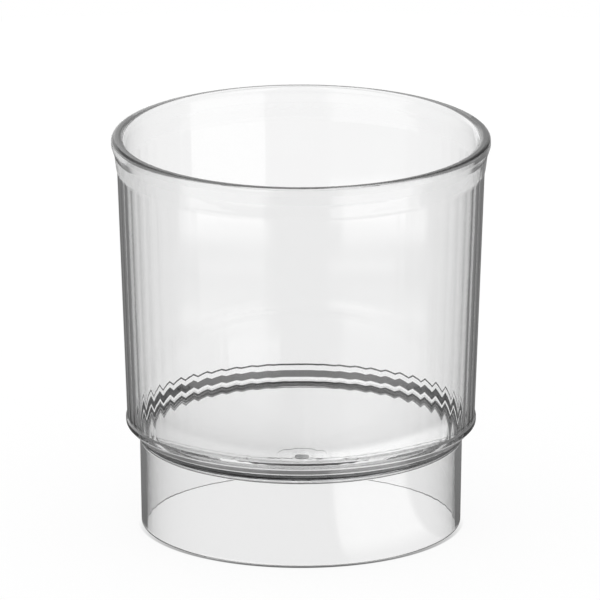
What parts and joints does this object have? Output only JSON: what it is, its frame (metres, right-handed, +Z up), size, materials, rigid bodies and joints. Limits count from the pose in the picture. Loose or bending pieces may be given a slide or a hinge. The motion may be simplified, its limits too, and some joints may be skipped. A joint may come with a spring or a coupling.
{
  "type": "plastic tumbler cup",
  "caption": "Clear moulded drinking tumbler with a tapered wall of flat flutes, a rounded lip, a dished floor, a shoulder and an open foot for stacking.",
  "frame": {"origin": "centre of the foot's lower edge, on the surface that the cup stands on", "axes": "+Z up along the cup's axis of revolution; +X and +Y across it, with an edge between two flutes on +X"},
  "size_m": [0.0852, 0.0852, 0.09],
  "materials": {
    "clear_plastic": "polished clear"
  },
  "bodies": {
    "root": {"tumbler": "clear_plastic"}
  },
  "joints": []
}
